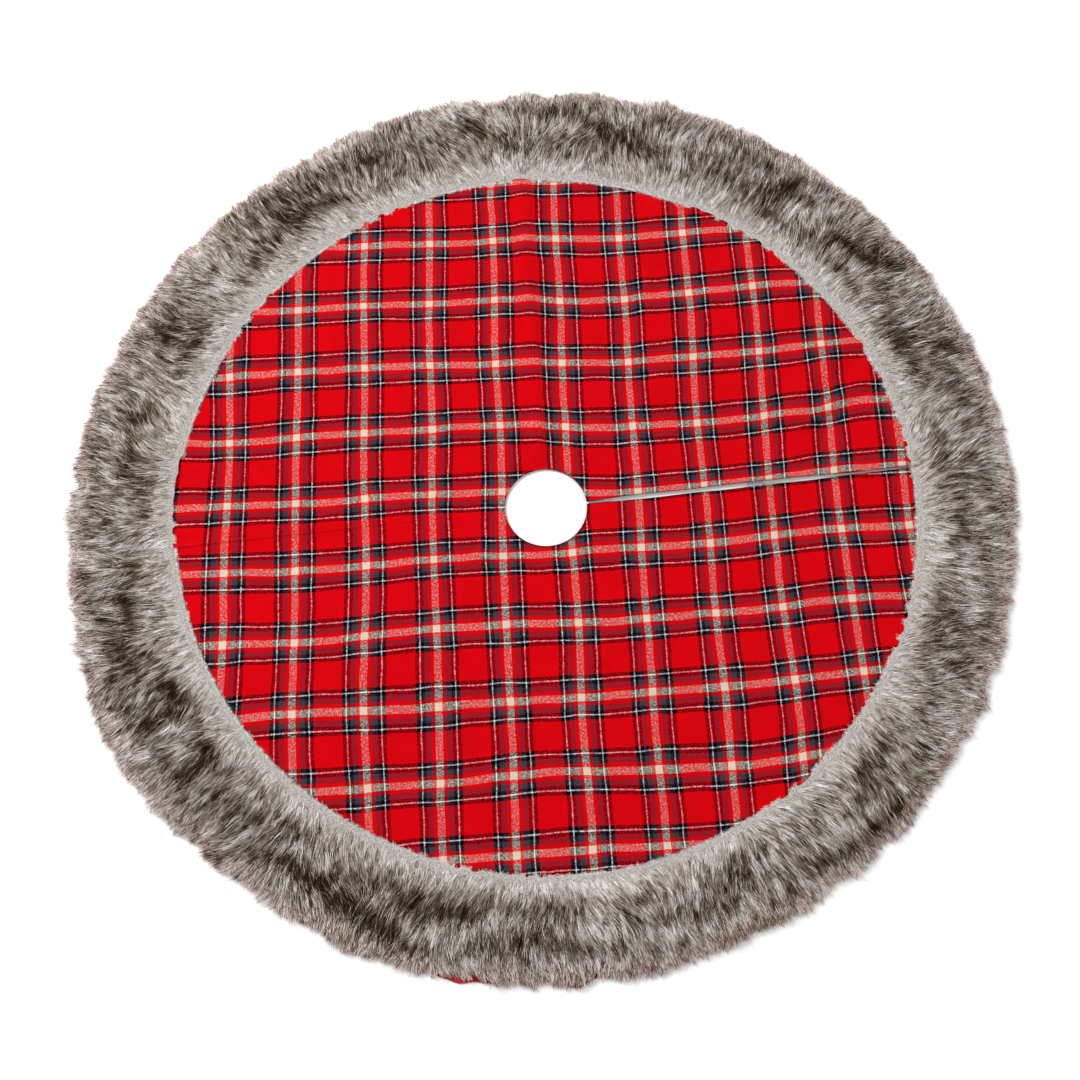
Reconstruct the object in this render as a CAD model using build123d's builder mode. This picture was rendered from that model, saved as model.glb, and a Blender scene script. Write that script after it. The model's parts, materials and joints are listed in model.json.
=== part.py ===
"""Round tree skirt: a plaid top on a red lining, with a faux-fur trim in four quarters.

A radial slit runs along +X from the trunk hole to the rim, held shut by three hook-and-loop pairs.
The half at -X lies still. The two quarters at +X, one on each side of the slit, fold up and back
about the Y axis, which is where the cloth was folded for its packet and where two fur quarters meet.

The origin is the centre of the trunk hole, on the floor. +Z is up and all sizes are in millimetres.
Cloth lies in low waves, so its solids are as thick as those waves and not as thin as the cloth.
"""

import os

from build123d import *

# Driving dimensions
skirt_radius = 610.0  # 48 in across, over the fur
hole_radius = 53.0
fur_inner_radius = 473.0
fur_overhang = 10.0  # how far the pile stands past the lining's edge
fur_height = 20.0
fur_edge_height = 8.0
slit_gap = 4.0  # between the two hemmed edges
fur_slit_gap = 1.2
fold_gap = 0.3  # between the still half and a folding quarter
lining_top = 2.0
plaid_top = 4.0

# The fold: its axis runs along Y at this height, and the pile dips to it where two quarters meet
fold_axis_height = 11.0
fold_dip_slope = 0.26  # rise over run, which lets a quarter fold back by about 150 degrees
fold_dip_reach = 60.0

# Hook-and-loop pairs, by the distance of their middle from the hole's centre
closure_middles = {"inner": 65.0, "middle": 272.0, "outer": 454.0}
tape_length = 20.0
tape_width = 14.0
hook_thickness = 1.0
loop_thickness = 0.8
tab_reach = 12.0  # how far a loop tab goes past the slit's middle, under the other edge
tape_play = 0.8  # room round a loop tab, so that it drops clear of the lining

# Sewing. The skirt is sewn inside out and turned, so its seams lie between the two layers
thread_width = 0.8
thread_height = 0.4
clearance = 0.2  # round a thread, and between curved faces that would otherwise touch
lip_groove = 2.0  # between the lining's edge and the pile that hangs over it
seam_inset = 3.0  # from the hole's and the slit's edges to the middle of their seam
box_stitch_inset = 2.0  # from a tape's edges to the stitches that hold it

# Care label, sewn flat under the lining
label_length = 46.0
label_width = 22.0
label_thickness = 0.3
label_middle = (360.0, -24.0)

lining_radius = skirt_radius - fur_overhang
plaid_radius = fur_inner_radius - clearance
half_gap = fold_gap / 2
half_slit = slit_gap / 2
half_fur_slit = fur_slit_gap / 2
reach = 2 * skirt_radius  # longer than anything that it cuts


def region(side, slit_half=half_slit):
    """(middle, size) of the rectangle that holds one body's share of a round layer."""
    if side == "back":
        return (-half_gap - reach / 2, 0), (reach, 2 * reach)
    sign = 1 if side == "left" else -1
    return (half_gap + reach / 2, sign * (slit_half + reach / 2)), (reach, reach)


def annulus(side, inner, outer, bottom, top):
    """One body's share of a flat ring."""
    middle, size = region(side)
    with BuildPart() as ring:
        with BuildSketch(Plane.XY.offset(bottom)):
            Circle(outer)
            Circle(inner, mode=Mode.SUBTRACT)
            with Locations(middle):
                Rectangle(*size, mode=Mode.INTERSECT)
        extrude(amount=top - bottom)
    return ring.part


def edge_line(side, width, height):
    """A line beside the hole's edge and, on a folding quarter, on along the slit."""
    middle_radius = hole_radius + seam_inset
    middle_y = half_slit + seam_inset
    length = plaid_radius - 2 * seam_inset - middle_radius + width
    middle, size = region(side, middle_y - width / 2)
    sign = 1 if side == "left" else -1
    with BuildPart() as line:
        with BuildSketch(Plane.XY.offset(lining_top)):
            Circle(middle_radius + width / 2)
            Circle(middle_radius - width / 2, mode=Mode.SUBTRACT)
            with Locations(middle):
                Rectangle(*size, mode=Mode.INTERSECT)
            if side != "back":
                with Locations((middle_radius + (length - width) / 2, sign * middle_y)):
                    Rectangle(length, width)
        extrude(amount=height)
    return line.part


def closure_boxes(side, grow, height):
    """The outlines' boxes of the stitches that hold the tapes of one side of the slit."""
    sign = 1 if side == "left" else -1
    length = tape_length - 2 * box_stitch_inset + 2 * grow
    width = tape_width - seam_inset - 2 * box_stitch_inset + 2 * grow
    with BuildPart() as boxes:
        with BuildSketch(Plane.XY.offset(lining_top)):
            for middle in closure_middles.values():
                with Locations((middle, sign * (half_slit + (tape_width + seam_inset) / 2))):
                    Rectangle(length, width)
        extrude(amount=height)
    return boxes.part


def make_plaid_top(side):
    """The plaid panel, with grooves in its underside for the threads that it hides."""
    groove_height = thread_height + clearance
    with BuildPart() as plaid:
        add(annulus(side, hole_radius, plaid_radius, lining_top, plaid_top))
        add(edge_line(side, thread_width + 2 * clearance, groove_height), mode=Mode.SUBTRACT)
        if side != "back":
            add(closure_boxes(side, clearance, groove_height), mode=Mode.SUBTRACT)
    return plaid.part


def make_lining(side):
    """The red lining, with room under it for the tapes and the care label."""
    room = half_slit + tape_width + tape_play
    with BuildPart() as lining:
        add(annulus(side, hole_radius, lining_radius, 0, lining_top))
        if side == "left":
            for middle in closure_middles.values():
                with BuildSketch(Plane.XY):
                    with Locations((middle, room / 2)):
                        Rectangle(tape_length + 4 * tape_play, room)
                extrude(amount=lining_top, mode=Mode.SUBTRACT)
        if side == "right":
            for middle in closure_middles.values():
                with BuildSketch(Plane.XY):
                    with Locations((middle, -room / 2)):
                        Rectangle(tape_length + 2 * tape_play, room)
                extrude(amount=loop_thickness, mode=Mode.SUBTRACT)
            with BuildSketch(Plane.XY):
                with Locations(label_middle):
                    Rectangle(label_length + 2 * clearance, label_width + 2 * clearance)
            extrude(amount=label_thickness, mode=Mode.SUBTRACT)
    return lining.part


def fur_ring(lip_inner):
    """A whole ring of pile: a low crown, with a lip that hangs over the lining's edge to the floor."""
    crown_middle = (fur_inner_radius + skirt_radius) / 2
    with BuildPart() as ring:
        with BuildSketch(Plane.XZ):
            with BuildLine():
                Polyline(
                    (fur_inner_radius, fur_edge_height),
                    (fur_inner_radius, lining_top),
                    (lip_inner, lining_top),
                    (lip_inner, 0),
                    (skirt_radius - fur_overhang / 3, 0),
                    (skirt_radius, fur_edge_height / 2),
                    (skirt_radius, fur_edge_height),
                )
                ThreePointArc(
                    (skirt_radius, fur_edge_height),
                    (crown_middle, fur_height),
                    (fur_inner_radius, fur_edge_height),
                )
            make_face()
        revolve(axis=Axis.Z)
    return ring.part


def make_fur_trim(side, sign):
    """One quarter of the trim. sign is 1 for the quarter at +Y and -1 for the one at -Y."""
    across = half_fur_slit if side == "flap" else 0
    x_sign = 1 if side == "flap" else -1
    corner = (x_sign * (half_gap + reach / 2), sign * (across + reach / 2))
    groove = thread_width + clearance
    with BuildPart() as trim:
        add(fur_ring(lining_radius + lip_groove))
        with BuildSketch(Plane.XY):
            with Locations(corner):
                Rectangle(reach, reach)
        extrude(amount=2 * fur_height, mode=Mode.INTERSECT)
        # the pile dips towards the fold
        with BuildSketch(Plane.XZ):
            with BuildLine():
                Polyline(
                    (0, fold_axis_height),
                    (fold_dip_reach, fold_axis_height + fold_dip_reach * fold_dip_slope),
                    (fold_dip_reach, 3 * fur_height),
                    (-fold_dip_reach, 3 * fur_height),
                    (-fold_dip_reach, fold_axis_height + fold_dip_reach * fold_dip_slope),
                    close=True,
                )
            make_face()
        extrude(amount=reach, both=True, mode=Mode.SUBTRACT)
        if side == "back":
            # room for the threads that join this quarter to its neighbours
            with BuildSketch(Plane.XY.offset(lining_top)):
                with Locations((-half_gap - groove, sign * skirt_radius)):
                    Rectangle(2 * groove, skirt_radius)
                with Locations((-skirt_radius, 0)):
                    Rectangle(skirt_radius, 2 * groove)
            extrude(amount=thread_height + clearance, mode=Mode.SUBTRACT)
    return trim.part


def make_hook_strip(middle):
    """Hook tape, sewn under the left edge with its hooks down."""
    with BuildPart() as strip:
        with BuildSketch(Plane.XY.offset(lining_top - hook_thickness)):
            with Locations((middle, half_slit + tape_width / 2)):
                Rectangle(tape_length, tape_width)
        extrude(amount=hook_thickness)
        fillet(strip.edges().filter_by(Axis.Z), 1.0)
    return strip.part


def make_loop_tab(middle):
    """Loop tape, sewn under the right edge, that reaches across the slit under the hook tape."""
    sewn = half_slit + tape_width
    with BuildPart() as tab:
        with BuildSketch(Plane.XY):
            with Locations((middle, (tab_reach - sewn) / 2)):
                Rectangle(tape_length, tab_reach + sewn)
        extrude(amount=loop_thickness)
        fillet(tab.edges().filter_by(Axis.Z), 1.5)
    return tab.part


def make_edge_seam(side):
    """The seam that joins the plaid and the lining along the hole and the slit."""
    return edge_line(side, thread_width, thread_height)


def make_closure_stitching(side):
    """Three small boxes of stitches that hold the tapes of one side of the slit."""
    with BuildPart() as stitching:
        add(closure_boxes(side, 0, thread_height))
        add(closure_boxes(side, -thread_width, thread_height), mode=Mode.SUBTRACT)
    return stitching.part


def make_trim_seam(side):
    """The seam that joins the plaid's edge to the fur."""
    outer = plaid_radius - thread_width
    return annulus(side, outer - thread_width, outer, plaid_top, plaid_top + thread_height)


def make_rim_seam(side):
    """The seam that joins the lining's edge to the fur's outer edge."""
    inner = lining_radius + (lip_groove - thread_width) / 2
    bottom = lining_top / 2
    return annulus(side, inner, inner + thread_width, bottom, bottom + thread_height)


def make_fur_joint(turn):
    """The thread that joins two fur quarters, at 90, 180 or 270 degrees from the slit."""
    start = fur_inner_radius + 2
    end = lining_radius - 2
    aside = 0 if turn == 180 else half_gap + thread_width
    with BuildPart() as joint:
        with BuildSketch(Plane.XY.offset(lining_top)):
            if turn == 180:
                with Locations((-(start + end) / 2, aside)):
                    Rectangle(end - start, thread_width)
            else:
                sign = 1 if turn == 90 else -1
                with Locations((-aside, sign * (start + end) / 2)):
                    Rectangle(thread_width, end - start)
        extrude(amount=thread_height)
    return joint.part


def make_care_label():
    with BuildPart() as label:
        with BuildSketch(Plane.XY):
            with Locations(label_middle):
                Rectangle(label_length, label_width)
        extrude(amount=label_thickness)
    return label.part


def write(part, name):
    part.label = name
    export_step(part, f"parts/{name}.step")


os.makedirs("parts", exist_ok=True)

for side, name in (("back", "back"), ("left", "left_flap"), ("right", "right_flap")):
    write(make_plaid_top(side), f"plaid_top_{name}")
    write(make_lining(side), f"lining_{name}")
    write(make_edge_seam(side), f"edge_seam_{name}")
    write(make_trim_seam(side), f"trim_seam_{name}")
    write(make_rim_seam(side), f"rim_seam_{name}")

write(make_fur_trim("flap", 1), "fur_trim_left_flap")
write(make_fur_trim("flap", -1), "fur_trim_right_flap")
write(make_fur_trim("back", 1), "fur_trim_back_left")
write(make_fur_trim("back", -1), "fur_trim_back_right")

for place, middle in closure_middles.items():
    write(make_hook_strip(middle), f"hook_strip_{place}")
    write(make_loop_tab(middle), f"loop_tab_{place}")

for side in ("left", "right"):
    write(make_closure_stitching(side), f"closure_stitching_{side}")

for turn in (90, 180, 270):
    write(make_fur_joint(turn), f"fur_joint_seam_{turn}")

write(make_care_label(), "care_label")
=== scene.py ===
"""Looks of the round tree skirt: brushed tartan on a red lining, with a deep frosted faux-fur rim.

The skirt lies flat, with its slit along +X. Cloth that crosses the fold at x = 0 is one piece for each
side of the slit.
"""

import json
import math

import bpy
import numpy as np
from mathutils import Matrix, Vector


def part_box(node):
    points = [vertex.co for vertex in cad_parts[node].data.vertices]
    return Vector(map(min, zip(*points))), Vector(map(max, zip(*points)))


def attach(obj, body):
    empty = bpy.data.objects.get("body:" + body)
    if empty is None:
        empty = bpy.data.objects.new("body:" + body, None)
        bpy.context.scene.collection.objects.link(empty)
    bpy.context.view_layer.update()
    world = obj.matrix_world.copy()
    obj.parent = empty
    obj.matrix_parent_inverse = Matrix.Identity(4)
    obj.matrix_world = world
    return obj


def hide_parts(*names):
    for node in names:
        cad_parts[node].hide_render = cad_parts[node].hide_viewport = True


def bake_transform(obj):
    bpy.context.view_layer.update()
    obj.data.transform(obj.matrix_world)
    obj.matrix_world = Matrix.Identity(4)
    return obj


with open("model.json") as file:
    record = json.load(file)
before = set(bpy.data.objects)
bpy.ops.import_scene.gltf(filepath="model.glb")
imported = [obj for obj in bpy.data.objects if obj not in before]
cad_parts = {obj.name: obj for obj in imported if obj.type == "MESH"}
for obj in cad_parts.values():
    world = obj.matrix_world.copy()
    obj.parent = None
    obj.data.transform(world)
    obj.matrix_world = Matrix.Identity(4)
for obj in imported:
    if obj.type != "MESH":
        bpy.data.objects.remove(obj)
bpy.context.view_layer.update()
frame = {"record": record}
scene = bpy.context.scene

MM = 0.001

# Sizes read from the frame
hole_radius = next(m for m in frame["record"]["mounts"] if m["name"] == "trunk_hole")["dims"]["r_mm"] * MM
fur_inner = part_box("plaid_top_back")[1].y
lining_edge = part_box("lining_back")[1].y
skirt_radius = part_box("fur_trim_back_left")[1].y

# How the plaid was laid and woven. The slit was cut at this angle to the cloth's own axes
slit_turn = math.radians(6.7)
warp_tilt = math.radians(2.5)
weft_tilt = math.radians(4.0)
warp_repeat = 87.5 * MM
weft_repeat = 91.75 * MM

# A rise is the height of a cloth's top where it lies flat
plaid_rise = 3.2 * MM
plaid_thickness = 1.3 * MM
plaid_under_fur = 3.0 * MM  # how far the plaid runs in under the fur's inner edge
turned_edge_drop = 0.6 * MM  # how much lower the turned edges of the slit lie
lining_rise = 1.0 * MM
lining_thickness = 0.6 * MM
lining_inset = 1.2 * MM  # how far the lining stays back from the plaid's edges at the hole and slit
backing_rise = 2.0 * MM  # the underside of the fur's backing
pile_length = 28 * MM
pile_hang = 12 * MM  # how far the pile reaches past the edge of its backing
pile_ceiling = 28.5 * MM
floor_drop = 0.4 * MM

# How much higher each cloth lies over the hook strips, and over the loop tabs
plaid_over_tapes = (1.4 * MM, 0.6 * MM)
lining_over_tapes = (1.4 * MM, 0.5 * MM)

SIDES = {"left": 1, "right": -1}


# ---- small helpers

def srgb(red, green, blue):
    """A colour as it looks on a screen, 0 to 255, made linear for the shaders."""
    parts = np.array([red, green, blue]) / 255
    linear = np.where(parts <= 0.04045, parts / 12.92, ((parts + 0.055) / 1.055) ** 2.4)
    return (*[float(value) for value in linear], 1.0)


def swell(x, y, wavelength, seed, waves=9):
    """A smooth, uneven field of about -1 to 1 whose hills are about one wavelength apart."""
    draw = np.random.default_rng(seed)
    total = np.zeros_like(x)
    for _ in range(waves):
        heading = draw.uniform(0, 2 * math.pi)
        number = 2 * math.pi / (wavelength * draw.uniform(0.7, 1.5))
        shift = draw.uniform(0, 2 * math.pi)
        total += np.sin(number * (x * math.cos(heading) + y * math.sin(heading)) + shift)
    return total / math.sqrt(waves)


def smooth(value, low, high):
    """0 below low, 1 above high, and a smooth step between."""
    t = np.clip((value - low) / (high - low), 0, 1)
    return t * t * (3 - 2 * t)


def ridge(x, y, start, end, width, fade):
    """A crease's height: 1 along a slightly bent line between two points."""
    along = np.array(end) - np.array(start)
    length = np.hypot(*along)
    along = along / length
    t = (x - start[0]) * along[0] + (y - start[1]) * along[1]
    across = (x - start[0]) * -along[1] + (y - start[1]) * along[0]
    across = across + 0.4 * width * np.sin(t / length * 7 + start[0] * 40)
    ends = smooth(t, -fade, fade) * (1 - smooth(t, length - fade, length + fade))
    return np.exp(-0.5 * (across / width) ** 2) * ends


def polar(radius, degrees):
    """The point at this radius and direction. The slit is at 0 degrees."""
    return (radius * math.cos(math.radians(degrees)), radius * math.sin(math.radians(degrees)))


# ---- how the cloth lies

# Start, end, width and height: packet folds first, then wrinkles beside the slit and up from the hole
CREASES = [
    (polar(0.062, 92), polar(0.465, 87), 0.009, 0.0055),
    (polar(0.1, 100), polar(0.4, 94), 0.016, 0.002),
    (polar(0.06, -92), polar(0.45, -88), 0.007, 0.0016),
    (polar(0.07, 182), polar(0.44, 179), 0.008, 0.0013),
    ((0.335, 0.066), (0.425, 0.118), 0.0048, 0.0052),
    (polar(0.33, 14), polar(0.47, 24), 0.01, 0.004),
    (polar(0.3, 16), polar(0.43, 25), 0.012, 0.0022),
    (polar(0.245, 52), polar(0.38, 62), 0.009, 0.0026),
    (polar(0.19, 40), polar(0.3, 47), 0.011, 0.002),
    (polar(0.09, 30), polar(0.25, 70), 0.013, 0.0016),
    (polar(0.1, -30), polar(0.23, -60), 0.014, 0.0012),
]


def cloth_wave(x, y):
    """How far the plaid stands above where it would lie flat."""
    radius = np.hypot(x, y)
    angle = np.arctan2(y, x)
    broad = 1.1 * MM * (1 + swell(x, y, 0.26, seed=3))
    fine = 0.35 * MM * (1 + swell(x, y, 0.075, seed=4))
    height = broad + fine
    for start, end, width, top in CREASES:
        height = height + top * ridge(x, y, start, end, width, fade=0.03)
    # the seam under the fur gathers the plaid in small puckers
    puckers_round = 118
    gathered = smooth(radius, fur_inner - 0.035, fur_inner)
    pucker = np.sin(angle * puckers_round + 3 * swell(x, y, 0.2, seed=5)) * gathered
    height = height + 0.7 * MM * (1 + pucker)
    tallest = 9 * MM
    return np.clip(height, 0, tallest) * smooth(radius, hole_radius - 0.004, hole_radius + 0.03)


CLOSURES = ["inner", "middle", "outer"]


def closure_lift(x, y, over_hooks, over_loops):
    """How much higher a cloth lies where it passes over the tapes under the slit's edges."""
    margin = 12 * MM
    total = np.zeros_like(x)
    for place in CLOSURES:
        low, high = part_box(f"loop_tab_{place}")
        total = total + smooth(x, low.x - margin, low.x) * (1 - smooth(x, high.x, high.x + margin))
    beside_slit = 1 - smooth(np.abs(y), 0.017, 0.034)
    return total * beside_slit * np.where(y > 0, over_hooks, over_loops)


def lining_height(x, y):
    """The lining's top."""
    broad = 0.4 * MM * (1 + swell(x, y, 0.09, seed=21))
    fine = 0.3 * MM * (1 + swell(x, y, 0.03, seed=22))
    under_fur = smooth(np.hypot(x, y), fur_inner - 0.01, fur_inner + 0.02)
    near_slit = (1 - smooth(np.abs(y), 0.0, 0.02)) * (x > 0)
    wrinkle = (broad + fine) * (1 - under_fur) * (1 - 0.7 * near_slit) + 0.3 * MM * under_fur
    return lining_rise + wrinkle + closure_lift(x, y, *lining_over_tapes)


def slit_edge(radius):
    """Half the slit's width at this radius: it gapes in its middle and closes towards the fur."""
    gape = smooth(radius, 0.045, 0.10) * (1 - smooth(radius, 0.30, 0.45))
    return 1.6 * MM + 0.3 * MM * np.sin(radius * 60) + 2.0 * MM * gape


# Where handling has pulled the yarns out of line: (place, reach in mm, spread), in the cloth's own axes
WEFT_PULLS = [
    ((0.145, 0.15), 12.0, 0.105),
    ((-0.4, 0.11), 9.5, 0.075),
    ((-0.095, -0.125), -7.5, 0.07),
    ((0.215, -0.345), 9.5, 0.085),
    ((0.39, -0.06), -5.0, 0.06),
    ((0.35, 0.135), 5.0, 0.03),
    ((0.41, 0.155), -5.0, 0.028),
    ((0.06, 0.33), 4.0, 0.05),
]
WARP_PULLS = [((0.35, 0.0), 5.5, 0.075), ((-0.37, 0.01), -2.5, 0.08), ((0.27, 0.29), -2.5, 0.06)]


# How a laid cloth drifts from its straight grid, in mm: constant, p, q, pp, pq and qq. p and q are the
# place in the cloth's own axes, as shares of this span
drift_span = 0.4
WARP_DRIFT = (-31.0, 0.7, 1.4, 3.3, 9.8, -1.7)
WEFT_DRIFT = (-25.3, 0.8, 0.8, -5.2, 5.6, 9.0)


def drift(a, b, terms):
    """How far the yarns at a place lie from the straight grid, in mm."""
    p, q = a / drift_span, b / drift_span
    return terms[0] + terms[1] * p + terms[2] * q + terms[3] * p * p + terms[4] * p * q + terms[5] * q * q


def pulled(a, b, pulls):
    """How far handling has moved the yarns at a place, in mm."""
    total = np.zeros_like(a)
    for (middle_a, middle_b), reach, spread in pulls:
        total = total + reach * np.exp(-((a - middle_a) ** 2 + (b - middle_b) ** 2) / (2 * spread**2))
    return total


def weave_place(x, y):
    """(warp, weft) place in repeats. A whole number is the middle of a beige band."""
    a = x * math.cos(slit_turn) - y * math.sin(slit_turn)
    b = x * math.sin(slit_turn) + y * math.cos(slit_turn)
    across = a * math.cos(warp_tilt) + b * math.sin(warp_tilt)
    along = b * math.cos(weft_tilt) - a * math.sin(weft_tilt)
    # the turned edges of the slit hide a strip of cloth, so the bands step across it
    take_up = 6.5 * np.sign(y) * np.exp(-((y / 0.11) ** 2)) * smooth(x, -0.02, 0.08)
    warp_wobble = 1.5 * swell(x, y, 0.22, seed=11) + 0.35 * swell(x, y, 0.05, seed=12)
    weft_wobble = 1.6 * swell(x, y, 0.20, seed=13) + 0.45 * swell(x, y, 0.05, seed=14)
    warp_shift = drift(a, b, WARP_DRIFT) + pulled(a, b, WARP_PULLS) + warp_wobble
    weft_shift = drift(a, b, WEFT_DRIFT) + pulled(a, b, WEFT_PULLS) + take_up + weft_wobble
    return (across + warp_shift * MM) / warp_repeat, (along + weft_shift * MM) / weft_repeat


# ---- meshes

LAYER = "weave"  # the one UV layer of every piece


def new_object(name, points, faces, materials, uv=None):
    """A mesh object from points and quads. A piece given no UV gets its x and y in metres."""
    corners = np.asarray(faces, np.int32)
    mesh = bpy.data.meshes.new(name)
    mesh.vertices.add(len(points))
    mesh.vertices.foreach_set("co", np.asarray(points, np.float32).ravel())
    mesh.loops.add(corners.size)
    mesh.loops.foreach_set("vertex_index", corners.ravel())
    mesh.polygons.add(len(corners))
    mesh.polygons.foreach_set("loop_start", np.arange(len(corners), dtype=np.int32) * 4)
    mesh.update(calc_edges=True)
    for material in materials:
        mesh.materials.append(material)
    flat = np.asarray(points)[:, :2] if uv is None else uv
    layer = mesh.uv_layers.new(name=LAYER)
    layer.data.foreach_set("uv", np.asarray(flat, np.float32)[corners.ravel()].ravel())
    mesh.polygons.foreach_set("use_smooth", np.ones(len(corners), bool))
    mesh.update()
    made = bpy.data.objects.new(name, mesh)
    scene.collection.objects.link(made)
    return made


def half_ring(side, inner, outer, radial_steps, turn_steps, edge, first=0.0, last=math.pi):
    """x and y of a grid on one side of the slit, from the slit, or an angle first, round to an angle last."""
    radius = np.linspace(inner, outer, radial_steps)[:, None] * np.ones(turn_steps)
    share = np.linspace(0, 1, turn_steps)[None, :]
    begin = np.maximum(np.arcsin(edge(radius) / radius), first)
    angle = begin + (last - begin) * share
    return radius * np.cos(angle), side * radius * np.sin(angle)


def shell(x, y, top, thickness, bulge, side):
    """Points and quads of a closed sheet of cloth over a grid, with its edges rounded out by a bulge.

    The points are the top, the underside and then the middle of the edge, and rim is the edge's points.
    """
    rows, columns = x.shape
    upper = np.stack([x, y, top], -1).reshape(-1, 3)
    lower = np.stack([x, y, top - thickness], -1).reshape(-1, 3)
    index = np.arange(rows * columns).reshape(rows, columns)
    quads = np.stack([index[:-1, :-1], index[1:, :-1], index[1:, 1:], index[:-1, 1:]], -1).reshape(-1, 4)
    count = len(upper)
    rim = np.concatenate([index[0, :-1], index[:-1, -1], index[-1, :0:-1], index[:0:-1, 0]])
    middle_x, middle_y = x.mean(), y.mean()
    before = np.roll(rim, 1)
    after = np.roll(rim, -1)
    step = upper[after, :2] - upper[before, :2]
    outward = np.stack([step[:, 1], -step[:, 0]], -1)
    outward /= np.linalg.norm(outward, axis=1)[:, None] + 1e-12
    if ((upper[rim, :2] - [middle_x, middle_y]) * outward).sum() < 0:
        outward = -outward
    middle = (upper[rim] + lower[rim]) / 2
    at_joint = (np.abs(upper[rim, 1]) < 1e-6) & (upper[rim, 0] < 0)
    middle[:, :2] += np.where(at_joint, 0.0, bulge)[:, None] * outward
    points = np.concatenate([upper, lower, middle])
    ring = np.arange(len(rim))
    following = np.roll(ring, -1)
    first_wall = np.stack([rim, rim[following], 2 * count + following, 2 * count + ring], -1)
    second_wall = np.stack([2 * count + ring, 2 * count + following, count + rim[following], count + rim], -1)
    faces = np.concatenate([quads, quads[:, ::-1] + count, first_wall[:, ::-1], second_wall[:, ::-1]])
    if side < 0:
        faces = faces[:, ::-1]
    return points, faces, rim


def tube_faces(sides, rings):
    """Quads of an open tube whose points run ring by ring."""
    ring = np.arange(sides)
    following = (ring + 1) % sides
    return np.concatenate([
        np.stack([ring, following, sides + following, sides + ring], -1) + step * sides
        for step in range(rings - 1)
    ])


def repeated(faces, copies, points_each):
    """The quads of one small thing, for many of them one after another."""
    return (faces[None] + (np.arange(copies) * points_each)[:, None, None]).reshape(-1, 4)


def square_off(piece, joint_width=0.6 * MM):
    """Shade flat the walls where two sheets of one cloth meet, so no line shows there."""
    mesh = piece.data
    centre = np.zeros(len(mesh.polygons) * 3)
    normal = np.zeros(len(mesh.polygons) * 3)
    mesh.polygons.foreach_get("center", centre)
    mesh.polygons.foreach_get("normal", normal)
    centre, normal = centre.reshape(-1, 3), normal.reshape(-1, 3)
    wall = (centre[:, 0] < 0) & (np.abs(centre[:, 1]) < joint_width) & (np.abs(normal[:, 2]) < 0.9)
    mesh.polygons.foreach_set("use_smooth", ~wall)
    mesh.update()


# ---- shader helpers

class Shader:
    """A material's node tree, with short ways to add and link nodes."""

    def __init__(self, name, roughness, sheen=0.0, specular=0.3):
        self.material = bpy.data.materials.new(name)
        self.material.use_nodes = True
        self.tree = self.material.node_tree
        self.surface = self.tree.nodes["Principled BSDF"]
        self.surface.inputs["Roughness"].default_value = roughness
        self.surface.inputs["Specular IOR Level"].default_value = specular
        self.surface.inputs["Sheen Weight"].default_value = sheen
        self.surface.inputs["Sheen Roughness"].default_value = 0.5

    def node(self, kind, **settings):
        made = self.tree.nodes.new(kind)
        for key, value in settings.items():
            setattr(made, key, value)
        return made

    def link(self, source, target):
        if isinstance(source, (int, float, tuple)):
            target.default_value = source
        else:
            self.tree.links.new(source, target)

    def math(self, operation, first, second=0.0, third=0.0):
        made = self.node("ShaderNodeMath", operation=operation)
        for value, socket in zip((first, second, third), made.inputs):
            self.link(value, socket)
        return made.outputs[0]

    def place(self):
        return self.node("ShaderNodeUVMap", uv_map=LAYER).outputs["UV"]

    def spot(self):
        return self.node("ShaderNodeTexCoord").outputs["Object"]

    def parts(self, vector):
        made = self.node("ShaderNodeSeparateXYZ")
        self.link(vector, made.inputs[0])
        return made.outputs[0], made.outputs[1]

    def stretch(self, vector, x, y):
        made = self.node("ShaderNodeMapping")
        self.link(vector, made.inputs["Vector"])
        made.inputs["Scale"].default_value = (x, y, 1.0)
        return made.outputs[0]

    def noise(self, vector, scale, detail=2.0, roughness=0.5):
        made = self.node("ShaderNodeTexNoise")
        self.link(vector, made.inputs["Vector"])
        made.inputs["Scale"].default_value = scale
        made.inputs["Detail"].default_value = detail
        made.inputs["Roughness"].default_value = roughness
        return made.outputs[0]

    def mix(self, factor, first, second, blend_type="MIX"):
        made = self.node("ShaderNodeMix", data_type="RGBA", blend_type=blend_type)
        self.link(factor, made.inputs[0])
        self.link(first, made.inputs[6])
        self.link(second, made.inputs[7])
        return made.outputs[2]

    def ramp(self, value, stops, interpolation="LINEAR"):
        made = self.node("ShaderNodeValToRGB")
        made.color_ramp.interpolation = interpolation
        self.link(value, made.inputs[0])
        elements = made.color_ramp.elements
        while len(elements) < len(stops):
            elements.new(0.5)
        for element, (position, colour) in zip(elements, stops):
            element.position = position
            element.color = colour
        return made.outputs["Color"]

    def bump(self, height, distance, strength=1.0):
        made = self.node("ShaderNodeBump")
        made.inputs["Strength"].default_value = strength
        made.inputs["Distance"].default_value = distance
        self.link(height, made.inputs["Height"])
        self.link(made.outputs[0], self.surface.inputs["Normal"])

    def finish(self, colour):
        self.link(colour, self.surface.inputs["Base Color"])
        return self.material


def yarn(red, green, blue, fluff=0.0):
    """A yarn's colour as it looks, and how much its fluff covers the yarns that cross it.

    Yarns are mixed as they look, and the mix is made linear after.
    """
    return (red / 255, green / 255, blue / 255, fluff)


RED = yarn(201, 2, 18, fluff=1.0)
BEIGE = yarn(207, 194, 170)
CHARCOAL = yarn(60, 56, 63)
NAVY = yarn(8, 6, 14)
WHITE = yarn(232, 228, 232)

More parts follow.
